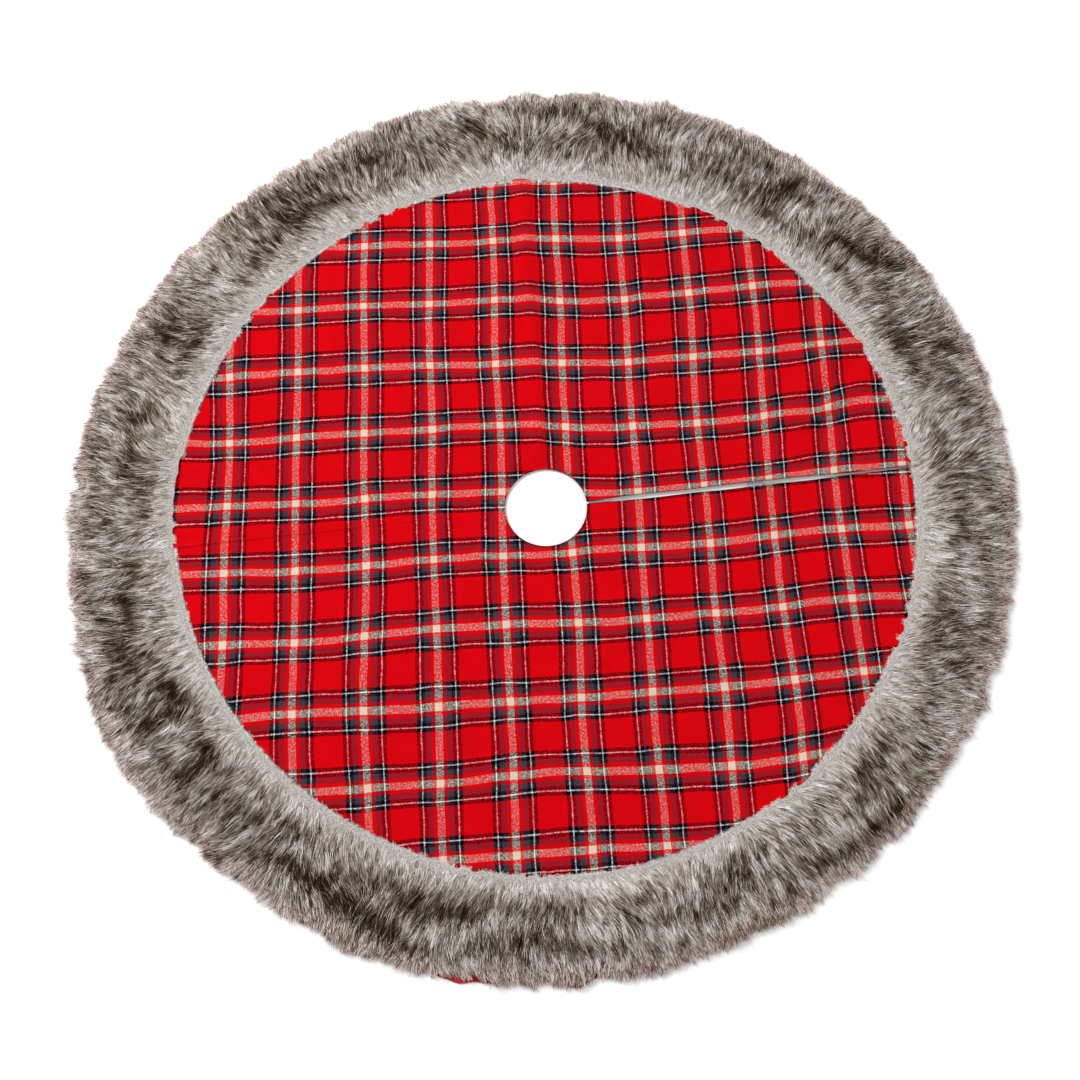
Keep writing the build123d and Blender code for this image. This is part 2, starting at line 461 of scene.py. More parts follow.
# The sett, from the middle of the beige band outwards, in millimetres
SETT = [(0.0, BEIGE), (4.4, RED), (9.0, CHARCOAL), (15.8, NAVY), (20.1, WHITE), (21.7, NAVY), (26.2, RED)]


def tartan():
    """Brushed tartan in a two-and-two twill. Its UV is the place in repeats."""
    fray, speckle, twill, fluff_cover = 0.035, 3.0, 0.08, 0.11
    ribs_per_repeat, gamma = 36, 2.2
    s = Shader("brushed_tartan", roughness=0.95, sheen=0.02, specular=0.04)
    place = s.place()
    warp, weft = s.parts(place)
    warp_fuzz = s.noise(place, 46, 3.0, 0.7)
    weft_fuzz = s.noise(s.stretch(place, 1.07, 0.93), 49, 3.0, 0.7)
    half_repeat = warp_repeat / MM / 2
    stops = [(position / half_repeat, colour) for position, colour in SETT]

    def yarns(along, blur):
        centred = s.math("SUBTRACT", s.math("FRACT", s.math("ADD", along, 0.5)), 0.5)
        distance = s.math("MULTIPLY", s.math("ABSOLUTE", centred), 2.0)
        frayed = s.math("MULTIPLY_ADD", s.math("SUBTRACT", blur, 0.5), fray, distance)
        colour = s.ramp(frayed, stops, "CONSTANT")
        return colour, colour.node.outputs["Alpha"]

    warp_yarn, warp_fluff = yarns(warp, warp_fuzz)
    weft_yarn, weft_fluff = yarns(weft, weft_fuzz)

    # the yarn on top changes along a diagonal, unevenly because the cloth is brushed
    rib = s.math("SINE", s.math("MULTIPLY", s.math("ADD", warp, weft), 2 * math.pi * ribs_per_repeat))
    mottle = s.noise(place, 40, 2.0, 0.9)
    share = s.math("MULTIPLY_ADD", rib, twill, 0.53)
    share = s.math("MULTIPLY_ADD", s.math("SUBTRACT", mottle, 0.5), speckle, share)
    share = s.math("MULTIPLY_ADD", s.math("SUBTRACT", weft_fluff, warp_fluff), fluff_cover, share)
    weft_share = s.node("ShaderNodeClamp")
    s.link(share, weft_share.inputs[0])
    s.link(0.08, weft_share.inputs[1])
    s.link(0.92, weft_share.inputs[2])
    mixed = s.mix(weft_share.outputs[0], warp_yarn, weft_yarn)
    linear = s.node("ShaderNodeGamma")
    s.link(mixed, linear.inputs[0])
    s.link(gamma, linear.inputs[1])
    # painted shade: soft darker patches across the cloth stand in for the shade of its gentle undulations
    painted_shade = s.ramp(s.noise(place, 3.2, 4.0, 0.6), [(0.3, (0.86, 0.86, 0.86, 1)), (0.7, (1, 1, 1, 1))])
    colour = s.mix(1.0, linear.outputs[0], painted_shade, "MULTIPLY")
    nap = s.math("ADD", s.math("MULTIPLY", rib, 0.5), s.noise(place, 160, 3.0, 0.7))
    s.bump(nap, 0.0003, 0.6)
    return s.finish(colour)


def lining_cloth():
    """Thin plain red cloth, bonded from fibres."""
    s = Shader("lining_cloth", roughness=0.75, sheen=0.1, specular=0.25)
    place = s.place()
    cloud = s.noise(place, 22, 5.0, 0.65)
    speck = s.noise(s.stretch(place, 1, 1.3), 420, 2.0, 0.6)
    colour = s.ramp(cloud, [(0.3, srgb(150, 6, 16)), (0.7, srgb(188, 14, 26))])
    colour = s.mix(s.math("MULTIPLY", speck, 0.25), colour, srgb(214, 60, 62))
    s.bump(s.math("ADD", speck, s.math("MULTIPLY", cloud, 0.6)), 0.0004, 0.5)
    return s.finish(colour)


def underfur():
    """The dense short pile and the shade between the long fibres."""
    s = Shader("underfur", roughness=0.95, specular=0.05)
    place = s.place()
    streak = s.noise(s.stretch(place, 330, 60), 1.0, 4.0, 0.6)
    _, across = s.parts(place)
    dark = s.ramp(streak, [(0.30, srgb(52, 41, 36)), (0.50, srgb(88, 76, 69)), (0.72, srgb(136, 125, 118))])
    pale = s.ramp(
        streak, [(0.32, srgb(126, 119, 113)), (0.52, srgb(176, 171, 166)), (0.70, srgb(202, 198, 194))]
    )
    edge = s.ramp(across, [(0.14, (1, 1, 1, 1)), (0.28, (0, 0, 0, 1))])
    s.bump(streak, 0.002, 0.7)
    return s.finish(s.mix(edge, dark, pale))


def thread(name, colour):
    """Sewing thread of one colour, with its twist in relief."""
    s = Shader(name, roughness=0.6, sheen=0.1, specular=0.3)
    s.bump(s.noise(s.place(), 2500, 2.0, 0.6), 0.0002, 0.5)
    return s.finish(colour)


def tape(name, pale, painted_shade, scale, relief):
    """Fuzzy nylon tape, with painted light on its raised fluff and painted shade between."""
    s = Shader(name, roughness=0.7, sheen=0.15, specular=0.25)
    fluff = s.noise(s.spot(), scale, 4.0, 0.7)
    s.bump(fluff, relief, 0.8)
    # the colour runs from painted shade in the hollows of the fluff to painted light on its raised tops
    return s.finish(s.ramp(fluff, [(0.32, painted_shade), (0.62, pale)]))


def satin():
    """Blank woven label ribbon."""
    s = Shader("label_satin", roughness=0.38, sheen=0.05, specular=0.5)
    rib = s.noise(s.stretch(s.spot(), 300, 4200), 1.0, 2.0, 0.5)
    s.bump(rib, 0.0001, 0.5)
    return s.finish(s.ramp(rib, [(0.35, srgb(214, 213, 208)), (0.65, srgb(240, 239, 236))]))


# ---- camera, floor, light

def look(from_point, to_point):
    """The rotation that points a camera or a lamp from one point to another."""
    return (Vector(to_point) - Vector(from_point)).to_track_quat("-Z", "Y").to_euler()


def turned(point):
    """A point given in the photo's upright axes, turned so that the slit is along +X."""
    x, y, z = point
    c, s = math.cos(-slit_turn), math.sin(-slit_turn)
    return (x * c - y * s, x * s + y * c, z)


def add_camera():
    data = bpy.data.cameras.new("camera")
    data.sensor_width = 36.0
    data.lens = 66.67
    data.clip_end = 50.0
    made = bpy.data.objects.new("camera", data)
    made.location = turned((-0.0077, -0.9032, 2.3961))
    made.rotation_euler = look(made.location, turned((-0.0077, -0.0433, 0.0)))
    scene.collection.objects.link(made)
    scene.camera = made


def add_area(name, location, size, watts):
    """A round soft lamp that points at the middle of the skirt."""
    data = bpy.data.lights.new(name, "AREA")
    data.shape = "DISK"
    data.size = size
    data.energy = watts
    made = bpy.data.objects.new(name, data)
    made.location = location
    made.rotation_euler = look(location, (0, 0, 0))
    scene.collection.objects.link(made)


def add_studio():
    s = Shader("floor_paper", roughness=0.9, specular=0.1)
    tone = s.ramp(s.noise(s.spot(), 1.5, 3.0), [(0.3, srgb(240, 239, 237)), (0.7, srgb(246, 245, 243))])
    paper = s.finish(tone)
    size = 8.0
    corners = [(x * size, y * size, -floor_drop) for x, y in ((-1, -1), (1, -1), (1, 1), (-1, 1))]
    floor = new_object("floor", corners, [(0, 1, 2, 3)], [paper])
    world = bpy.data.worlds.new("studio")
    world.use_nodes = True
    background = world.node_tree.nodes["Background"]
    background.inputs["Color"].default_value = (1.0, 1.0, 1.0, 1.0)
    background.inputs["Strength"].default_value = 0.55
    scene.world = world
    add_area("key", (-1.9, 1.5, 2.6), size=1.6, watts=105)
    add_area("fill", (2.2, -1.2, 2.8), size=2.4, watts=35)
    scene.view_settings.view_transform = "Standard"


# ---- the cloths

def fold(piece):
    """The piece's place is baked into its points; it doesn't bend at the fold."""
    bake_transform(piece)


def rigid(name, shape, material, body, node=None):
    """A piece that rides on one body, in place of a CAD node if it stands for one."""
    made = new_object(name, *shape, [material])
    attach(made, body)
    if node:
        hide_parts(node)


def stood_for(side_name, *stems):
    """The CAD nodes of this side's quarter. The left piece stands for the still half's too."""
    flaps = [f"{stem}_{side_name}_flap" for stem in stems]
    return flaps + [f"{stem}_back" for stem in stems] if side_name == "left" else flaps


def add_plaid(side_name, material):
    """One side's half of the plaid."""
    side = SIDES[side_name]
    outer = fur_inner + plaid_under_fur
    x, y = half_ring(side, hole_radius, outer, 118, 330, slit_edge)
    top = plaid_rise + cloth_wave(x, y) + closure_lift(x, y, *plaid_over_tapes)
    turned_edge = (1 - smooth(np.abs(y), 0, 4 * MM)) * (x >= 0)
    top = top - turned_edge_drop * turned_edge
    points, faces, rim = shell(x, y, top, plaid_thickness, 0.7 * MM, side)
    warp, weft = weave_place(x, y)
    flat = np.stack([warp, weft], -1).reshape(-1, 2)
    uv = np.concatenate([flat, flat, flat[rim]])
    made = new_object(f"plaid_{side_name}", points, faces, [material], uv)
    square_off(made)
    fold(made)
    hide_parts(*stood_for(side_name, "plaid_top", "edge_seam"))


def lining_outline(angle):
    """The lining's radius: it shows past the fur in a few places at the rim."""
    peeps = [(-106, 15 * MM, 3.6), (-93, 16 * MM, 2.0)]  # direction in degrees, reach, spread in degrees
    drawn_in = rim_follow * np.minimum(rim_stray(np.cos(angle), np.sin(angle)), 0)
    radius = lining_edge - 4 * MM + drawn_in
    for degrees, reach, width in peeps:
        gap = np.degrees(angle) - degrees
        radius = radius + reach * np.exp(-0.5 * (gap / width) ** 2)
    return radius


def add_lining(side_name, material):
    """One side's half of the lining."""
    side = SIDES[side_name]
    x, y = half_ring(
        side, hole_radius + lining_inset, lining_edge, 76, 440,
        lambda radius: slit_edge(radius) + lining_inset,
    )
    angle = np.arctan2(y, x)
    radius = np.hypot(x, y)
    stretch = 1 + (lining_outline(angle) / lining_edge - 1) * smooth(radius, 0.5, lining_edge)
    x, y = x * stretch, y * stretch
    top = lining_height(x, y)
    points, faces, rim = shell(x, y, top, lining_thickness, 0.2 * MM, side)
    flat = np.stack([x, y], -1).reshape(-1, 2)
    uv = np.concatenate([flat, flat, flat[rim]])
    made = new_object(f"lining_{side_name}", points, faces, [material], uv)
    square_off(made)
    fold(made)
    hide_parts(*stood_for(side_name, "lining"))


# ---- the fur

# Tones of the pile, dark to pale, then the pinkish and brown tips
TONES = [
    (36, 25, 17), (64, 49, 38), (102, 87, 73), (140, 126, 112), (171, 161, 150),
    (198, 191, 184), (220, 215, 211), (243, 239, 237), (228, 206, 203), (132, 90, 60),
]
PALEST, PINK_TIP, BROWN_TIP = 7, 8, 9

PILES_PER_STRIP = 4
PILE_SEED = 100

# How far the rim strays from a circle: direction in degrees, reach, and spread in degrees
RIM_SHAPE = [
    (-10, -0.010, 20), (58, 0.006, 18), (118, -0.005, 14), (145, -0.004, 12), (204, 0.015, 10),
    (228, -0.004, 9), (262, -0.008, 12), (292, -0.012, 12), (318, -0.009, 18),
]
rim_follow = 0.8  # how much of that the cloths under the pile share

# Creases in the pile, lower and with painted shade: direction in degrees and share of the band, at one end
# and then the other
PILE_CREASES = [
    (125, 0.85, 107, 0.60), (125, 0.62, 114, 0.34), (149, 0.70, 146, 0.55), (162, 0.62, 158, 0.45),
    (186, 0.60, 197, 0.72), (205, 0.88, 201, 0.30), (212, 0.78, 211, 0.28), (225, 0.75, 236, 0.60),
    (236, 0.60, 246, 0.88), (244, 0.50, 255, 0.45), (49, 0.22, 47, 0.98), (39, 0.50, 28, 0.88),
    (24, 0.20, 14, 0.92), (78, 0.70, 66, 0.45), (-62, 0.80, -48, 0.90), (95, 0.75, 88, 0.45),
]


def pile_materials():
    """One plain material for each tone. The colour changes from fibre to fibre."""
    made = []
    for number, tone in enumerate(TONES):
        s = Shader(f"pile_tone_{number}", roughness=0.8, specular=0.10)
        made.append(s.finish(srgb(*tone)))
    return made


def rim_stray(x, y):
    """How far the rim stands out past a circle in the direction of a point."""
    degrees = np.degrees(np.arctan2(y, x))
    total = np.zeros_like(x)
    for direction, reach, spread in RIM_SHAPE:
        gap = (degrees - direction + 180) % 360 - 180
        total = total + reach * np.exp(-0.5 * (gap / spread) ** 2)
    along = np.radians(degrees) * 0.6  # metres round the rim
    lobes = 2.6 * MM * swell(along, 0 * along, 0.075, seed=51)
    tufts = 1.4 * MM * swell(along, 0 * along, 0.032, seed=52)
    return total + lobes + tufts


def dip(x, y):
    """From 0 to 1, how near a point is to a seam between two strips of fur."""
    near = np.minimum(np.abs(x), np.where(x < 0, np.abs(y), 1.0))
    return np.exp(-((near / (14 * MM)) ** 2))


def band_share(x, y):
    """Place across the fur, 0 at the plaid and 1 at the outer edge of its backing."""
    outer = skirt_radius - pile_hang + rim_follow * rim_stray(x, y)
    return (np.hypot(x, y) - fur_inner) / (outer - fur_inner)


band_radius = 0.54  # to the middle of the fur
band_width = 0.125


def shade_field(x, y):
    """Long hollows and crests round the band, about -1 to 1, which give the pile painted shade and painted
    light.
    """
    radius = np.hypot(x, y)
    around = band_radius * np.arctan2(y, x)
    lean = radius + 0.20 * around
    long_hollows = swell(around * 0.26, lean, 0.042, seed=31)
    short_hollows = swell(around * 0.8, lean, 0.022, seed=32)
    streaks = swell(around * 2.4, lean * 0.6, 0.024, seed=33)
    creases = np.zeros_like(x)
    for from_degrees, from_share, to_degrees, to_share in PILE_CREASES:
        start = polar(fur_inner + band_width * from_share, from_degrees)
        end = polar(fur_inner + band_width * to_share, to_degrees)
        creases = np.maximum(creases, ridge(x, y, start, end, 8.5 * MM, fade=12 * MM))
    return 0.48 * long_hollows + 0.40 * short_hollows + 0.35 * streaks + 0.30 - 1.45 * creases


def fur_top(x, y):
    """Height of the dense pile's top above the floor."""
    share = np.clip(band_share(x, y), 0, 1)
    crown = 4 * share * (1 - share)
    height = 5.2 * MM + 5.0 * MM * np.sqrt(crown) + 1.8 * MM * crown * shade_field(x, y)
    height = height - 3.0 * MM * crown * dip(x, y)
    return np.maximum(height, 3.0 * MM)


# Side of the slit, and the strip's first and last direction in degrees
QUARTERS = {
    "left_flap": (1, 0.0, 90.0),
    "back_left": (1, 90.0, 180.0),
    "right_flap": (-1, 0.0, 90.0),
    "back_right": (-1, 90.0, 180.0),
}


def go_with_body(piece, quarter):
    """A folding quarter's piece has its place baked into its points, and a still quarter's rides on the back.
    """
    if quarter.endswith("flap"):
        fold(piece)
    else:
        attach(piece, "skirt_back")


def add_underfur(quarter, material):
    """One strip of faux fur: its backing and its dense short pile."""
    side, first, last = QUARTERS[quarter]
    outer = skirt_radius - pile_hang
    x, y = half_ring(
        side, fur_inner - 1 * MM, outer, 44, 220, lambda radius: 0.6 * MM + 0 * radius,
        math.radians(first), math.radians(last),
    )
    radius = np.hypot(x, y)
    stretch = 1 + rim_follow * rim_stray(x, y) / outer * smooth(radius, fur_inner, outer)
    x, y = x * stretch, y * stretch
    top = fur_top(x, y)
    share = band_share(x, y)
    points, faces, rim = shell(x, y, top, top - backing_rise, 1.5 * MM, side)
    flat = np.stack([np.arctan2(y, x) * band_radius, share], -1).reshape(-1, 2)
    uv = np.concatenate([flat, flat, flat[rim]])
    made = new_object(f"fur_backing_{quarter}", points, faces, [material], uv)
    go_with_body(made, quarter)
    return made


def comb(locks, share, x, y, draw):
    """Each lock's heading, length, slope at the root and slope at the tip, which falls."""
    outwards = np.arctan2(y, x)
    swirl = 0.38 * swell(x, y, 0.17, seed=41) + 0.20 * swell(x, y, 0.06, seed=42) + 0.10
    heading = outwards + swirl + draw.normal(0, 0.10, locks)
    seam = dip(x, y)
    tuft = 0.10 * swell(x, y, 0.060, seed=43) + 0.09 * swell(x, y, 0.026, seed=44)
    length = pile_length * (0.90 + 0.16 * draw.uniform(-1, 1, locks) + tuft * smooth(share, 0.5, 0.9))
    length = length * (0.55 + 0.45 * smooth(share, 0.0, 0.30)) * (1 - 0.2 * seam)
    length = length * (1 - 0.30 * smooth(share, 0.74, 0.98))
    rise = np.radians(30 + 7 * draw.normal(0, 1, locks)) + 0.10 * shade_field(x, y) - 0.15 * seam
    rise = rise * (1 - 0.35 * smooth(share, 0.75, 1.0))
    fall = np.radians(-12 + 8 * draw.normal(0, 1, locks) - 26 * smooth(share, 0.70, 1.0))
    # beside the plaid the pile is short and lies towards the hole, over the seam
    inward = share < draw.uniform(0.02, 0.10, locks)
    heading = np.where(inward, outwards + math.pi + draw.normal(0.6, 0.9, locks), heading)
    length = np.where(inward, pile_length * draw.uniform(0.05, 0.19, locks), length)
    rise = np.where(inward, np.radians(24 + 8 * draw.normal(0, 1, locks)), rise)
    fall = np.where(inward, np.radians(-26 + 6 * draw.normal(0, 1, locks)), fall)
    return heading, length, rise, fall


def pile_tone(x, y, along, lock_tone, fibre_tone):
    """A fibre's tone at a point: pale beside the plaid, dark in the middle, frosted at the rim, with painted
    shade in hollows.
    """
    share = band_share(x, y)
    tone = 2.1 + 2.75 * (1 - smooth(share, 0.12, 0.38)) + 1.1 * smooth(share, 0.88, 1.06)
    tone = tone + 0.6 * (1 - smooth(share, 0.02, 0.14))
    # painted shade in the pile's hollows and creases, and painted light on its crests
    tone = tone + 1.9 * shade_field(x, y) * (0.25 + 0.75 * smooth(share, 0.15, 0.38))
    tone = tone + 1.2 * dip(x, y) + 1.5 * smooth(along, 0.55, 1.0) - 0.8 * (1 - smooth(along, 0.0, 0.4))
    return tone + lock_tone + fibre_tone


def add_pile(quarter, number, materials, locks=5200, each=6):
    """Long fibres of one strip, combed out from the hole and drawn together in locks."""
    side, first, last = QUARTERS[quarter]
    draw = np.random.default_rng(PILE_SEED + number)
    share = draw.uniform(0, 1, locks) ** 0.95 * 0.995
    share = np.where(np.arange(locks) < 0.09 * locks, 0.10 * share, share)  # close along the plaid
    off_edge = 0.05  # degrees
    angle = np.radians(draw.uniform(first + off_edge, last - off_edge, locks))
    rim = skirt_radius - pile_hang + rim_follow * rim_stray(np.cos(angle), side * np.sin(angle))
    radius = fur_inner + share * (rim - fur_inner)
    lock_x, lock_y = radius * np.cos(angle), side * radius * np.sin(angle)
    heading, length, rise, fall = comb(locks, share, lock_x, lock_y, draw)

    # each fibre differs a little from its lock
    lock = np.repeat(np.arange(locks), each)
    count = len(lock)
    spread = 3.4 * MM * np.sqrt(draw.uniform(0, 1, count))
    turn = draw.uniform(0, 2 * math.pi, count)
    aside_x, aside_y = spread * np.cos(turn), spread * np.sin(turn)
    heading = heading[lock] + draw.normal(0, 0.06, count)
    curl = draw.normal(0, 0.20, locks)[lock] + draw.normal(0, 0.10, count)
    length = length[lock] * draw.uniform(0.72, 1.06, count)
    rise = rise[lock] + draw.normal(0, 0.09, count)
    fall = fall[lock] + draw.normal(0, 0.10, count)

    # the fibre's course is followed in small steps, and kept at four stations
    steps = 8
    stations = np.array([0.0, 0.375, 0.75, 1.0])
    kept = np.round(stations * steps).astype(int)
    fine = (np.arange(steps) + 0.5) / steps
    slope = rise[:, None] + (fall - rise)[:, None] * fine
    course = heading[:, None] + curl[:, None] * (fine - 0.3)
    run = length[:, None] / steps * np.cos(slope)
    climb = length[:, None] / steps * np.sin(slope)
    zero = np.zeros((count, 1))

    def travelled(step):
        return np.concatenate([zero, np.cumsum(step, 1)], 1)[:, kept]

    gather = 1 - 0.50 * stations
    px = lock_x[lock][:, None] + aside_x[:, None] * gather + travelled(run * np.cos(course))
    py = lock_y[lock][:, None] + aside_y[:, None] * gather + travelled(run * np.sin(course))
    base = fur_top(px[:, 0], py[:, 0]) - 1.2 * MM
    pz = np.clip(base[:, None] + travelled(climb), 0.7 * MM, pile_ceiling)
    over_plaid = np.hypot(px, py) < fur_inner + 2 * MM
    pz = np.where(over_plaid, np.maximum(pz, plaid_rise + 3.2 * MM), pz)

    # flat blades that mostly face up
    width = np.array([0.50, 0.52, 0.40, 0.07]) * MM
    width = width[None, :] * draw.uniform(0.75, 1.3, count)[:, None]
    width = width * (0.45 + 0.55 * smooth(share, 0.02, 0.10))[lock][:, None]
    tilt = draw.normal(0, 0.40, count)[:, None] + draw.normal(0, 0.4, count)[:, None] * stations
    course = heading[:, None] + curl[:, None] * (stations - 0.3)
    blade_side = np.stack([-np.sin(course) * np.cos(tilt), np.cos(course) * np.cos(tilt), np.sin(tilt)], -1)
    blade_side = blade_side * width[:, :, None] / 2
    middle = np.stack([px, py, pz], -1)
    points = np.stack([middle - blade_side, middle + blade_side], 2).reshape(-1, 3)
    points[:, 2] = np.maximum(points[:, 2], 0.3 * MM)
    segment = np.array([0, 1, 3, 2])
    blade = np.stack([segment, segment + 2, segment + 4])
    faces = repeated(blade, count, points_each=8)

    # tones, one for each of a fibre's three segments
    mid_x, mid_y = (px[:, 1:] + px[:, :-1]) / 2, (py[:, 1:] + py[:, :-1]) / 2
    along = np.array([0.19, 0.56, 0.88])[None, :] + zero
    uneven = 0.78 + 0.22 * smooth(share, 0.12, 0.40)
    lock_tone = (draw.normal(0, 1.45, locks) * uneven)[lock][:, None]
    fibre_tone = draw.normal(0, 1.2, count)[:, None] * uneven[lock][:, None]
    tone = np.round(pile_tone(mid_x, mid_y, along, lock_tone, fibre_tone))
    index = np.clip(tone, 0, PALEST).astype(np.int32)
    fringe = smooth(band_share(px[:, 3], py[:, 3]), 0.92, 1.08)
    index[:, 2] = np.where(draw.uniform(0, 1, count) < 0.45 * fringe, PINK_TIP, index[:, 2])
    index[:, 1] = np.where(draw.uniform(0, 1, count) < 0.30 * fringe, PINK_TIP, index[:, 1])
    brown = draw.uniform(0, 1, locks)[lock] < 0.42 * fringe
    brown = brown | (draw.uniform(0, 1, count) < 0.04 + 0.16 * fringe)
    index[:, 2] = np.where(brown, BROWN_TIP, index[:, 2])

    made = new_object(f"fur_pile_{quarter}_{number}", points, faces, materials)
    made.data.polygons.foreach_set("material_index", index.ravel())
    made.data.update()
    go_with_body(made, quarter)
    return made


def add_fur(quarter, number, backing_material, tones):
    """One strip of fur with its long pile."""
    backing = add_underfur(quarter, backing_material)
    piles = [add_pile(quarter, 10 * number + part, tones) for part in range(PILES_PER_STRIP)]
    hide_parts(f"fur_trim_{quarter}")


# ---- threads and tapes

thread_radius = 0.22 * MM
stitch_pitch = 4.2 * MM
seam_inset = 3.0 * MM
TAPE_SEED = 60


def stitches_along(path, pitch=stitch_pitch, radius=thread_radius, dive=0.25 * MM):
    """Points and quads of a row of stitches on the underside of a cloth, along a line of points."""
    path = np.asarray(path, float)
    steps = np.linalg.norm(np.diff(path, axis=0), axis=1)
    run = np.concatenate([[0], np.cumsum(steps)])
    count = max(1, int(run[-1] / pitch))
    starts = (np.arange(count) + 0.12) * run[-1] / count
    stitch = 0.76 * run[-1] / count
    rings, sides = 5, 6
    share = np.linspace(0, 1, rings)
    at = starts[:, None] + stitch * share[None, :]
    centre = np.stack([np.interp(at, run, path[:, axis]) for axis in range(3)], -1)
    centre[:, :, 2] += dive * (2 * share - 1) ** 4
    along = centre[:, -1] - centre[:, 0]
    along[:, 2] = 0
    along /= np.linalg.norm(along, axis=1)[:, None]
    across = np.stack([-along[:, 1], along[:, 0], 0 * along[:, 0]], -1)
    thick = radius * np.array([0.45, 0.95, 1.0, 0.95, 0.45])
    turn = 2 * math.pi * np.arange(sides) / sides
    sideways = across[:, None, None, :] * np.cos(turn)[None, None, :, None]
    upwards = np.array([0, 0, 1.0]) * np.sin(turn)[None, None, :, None]
    points = centre[:, :, None, :] + thick[None, :, None, None] * (sideways + upwards)
    points = points.reshape(-1, 3)
    last = (rings - 1) * sides
    cap = np.array([[0, 1, 2, 3], [0, 3, 4, 5]])
    one = np.concatenate([tube_faces(sides, rings), [[3, 2, 1, 0], [5, 4, 3, 0]], cap + last])
    return points, repeated(one, count, points_each=rings * sides)


def joined(parts):
    """Several (points, quads) as one."""
    points, faces, start = [], [], 0
    for some_points, some_faces in parts:
        points.append(some_points)
        faces.append(some_faces + start)
        start += len(some_points)
    return np.concatenate(points), np.concatenate(faces)


def under_lining(x, y):
    """A line of points just under the lining."""
    low = lining_height(x, y) - lining_thickness - 0.00008
    return np.stack([x, y, np.maximum(low, thread_radius)], -1)


def add_seams(side_name, red, grey):
    """The seams of one side: along the hole and the slit, under the fur's inner edge, and at the rim."""
    side = SIDES[side_name]
    angle = np.linspace(math.pi - 0.01, 0.075, 60)
    hole_x = (hole_radius + seam_inset) * np.cos(angle)
    hole_y = side * (hole_radius + seam_inset) * np.sin(angle)
    slit_x = np.linspace(hole_radius + seam_inset + 2 * MM, fur_inner - 20 * MM, 200)
    slit_y = side * (slit_edge(slit_x) + seam_inset + 1 * MM)
    edge = stitches_along(under_lining(np.concatenate([hole_x, slit_x]), np.concatenate([hole_y, slit_y])))
    sweep = np.linspace(0.004, math.pi - 0.004, 700)
    trim = []
    for outward in (2.0 * MM, 3.4 * MM):
        radius = fur_inner + outward
        x, y = radius * np.cos(sweep), side * radius * np.sin(sweep)
        low = plaid_rise - plaid_thickness - 0.1 * MM + 0 * x
        trim.append(stitches_along(np.stack([x, y, low], -1)))
    rim_radius = lining_edge - 7.2 * MM
    rim = stitches_along(under_lining(rim_radius * np.cos(sweep), side * rim_radius * np.sin(sweep)))
    rows = [
        ("edge_seam", edge, red, "red_thread"),
        ("trim_seam", joined(trim), grey, "grey_thread"),
        ("rim_seam", rim, grey, "grey_thread"),
    ]
    for name, (points, faces), material, slot_name in rows:
        made = new_object(f"{name}_{side_name}", points, faces, [material])
        fold(made)
        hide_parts(*stood_for(side_name, name))


def plate(low, high, bottom, top, roundness=0.10):
    """A thin piece of tape with softly rounded corners."""
    u, v = np.meshgrid(np.linspace(-1, 1, 15), np.linspace(-1, 1, 15), indexing="ij")
    shrink_u = np.sqrt(1 - roundness * v**8)
    shrink_v = np.sqrt(1 - roundness * u**8)
    x = (low.x + high.x) / 2 + u * shrink_u * (high.x - low.x - 0.0006) / 2
    y = (low.y + high.y) / 2 + v * shrink_v * (high.y - low.y - 0.0006) / 2
    points, faces, _ = shell(x, y, top + 0 * x, top - bottom, 0.0002, 1)
    return points, faces


def in_rows(low, high, margin, pitch, jitter, draw):
    """x and y of many small things in rows on a tape, a little out of line."""
    u, v = np.meshgrid(
        np.arange(low.x + margin, high.x - margin + 0.4 * MM, pitch),
        np.arange(low.y + margin, high.y - margin + 0.4 * MM, pitch),
    )
    return u.ravel() + draw.normal(0, jitter, u.size), v.ravel() + draw.normal(0, jitter, u.size)


def hooks(low, high, root, tip, draw):
    """Little stems with hooked heads, in rows, from root to tip."""
    x, y = in_rows(low, high, 1.4 * MM, 1.3 * MM, 0.05 * MM, draw)
    levels = np.array([root, tip + 0.25 * (root - tip), tip + 0.20 * (root - tip), tip])
    sizes = np.array([0.11, 0.09, 0.24, 0.14]) * MM
    lean = np.array([0.0, 0.06, 0.14, 0.20]) * MM
    turn = math.pi / 2 * np.arange(4) + math.pi / 4
    dx = lean[:, None] + sizes[:, None] * np.cos(turn)[None, :]
    dy = sizes[:, None] * np.sin(turn)[None, :]
    points = np.stack([
        x[:, None, None] + dx[None], y[:, None, None] + dy[None],
        np.broadcast_to(levels[None, :, None], (len(x), 4, 4)),
    ], -1).reshape(-1, 3)
    one = np.concatenate([tube_faces(4, 4), [[12, 13, 14, 15], [3, 2, 1, 0]]])[:, ::-1]
    return points, repeated(one, len(x), points_each=16)


def loops(low, high, root, tip, draw):
    """Little arches of soft yarn, close together, standing on a tape."""
    x, y = in_rows(low, high, 1.0 * MM, 0.85 * MM, 0.18 * MM, draw)
    count = len(x)
    heading = draw.uniform(0, 2 * math.pi, count)
    tall = (tip - root) * draw.uniform(0.75, 1.0, count)
    swing = np.linspace(0, math.pi, 5)
    reach, thin, foot = 0.42 * MM, 0.07 * MM, 0.06 * MM
    px = x[:, None] + reach * np.cos(swing)[None] * np.cos(heading)[:, None]
    py = y[:, None] + reach * np.cos(swing)[None] * np.sin(heading)[:, None]
    pz = root - foot + (tall[:, None] - 0.04 * MM) * np.sin(swing)[None]
    turn = 2 * math.pi / 3 * np.arange(3)
    ox = thin * np.cos(turn)[None, :] * -np.sin(heading)[:, None]
    oy = thin * np.cos(turn)[None, :] * np.cos(heading)[:, None]
    oz = thin * np.sin(turn)[None, :] + 0 * ox
    points = np.stack([
        px[:, :, None] + ox[:, None, :], py[:, :, None] + oy[:, None, :], pz[:, :, None] + oz[:, None, :],
    ], -1).reshape(-1, 3)
    return points, repeated(tube_faces(3, 5), count, points_each=15)


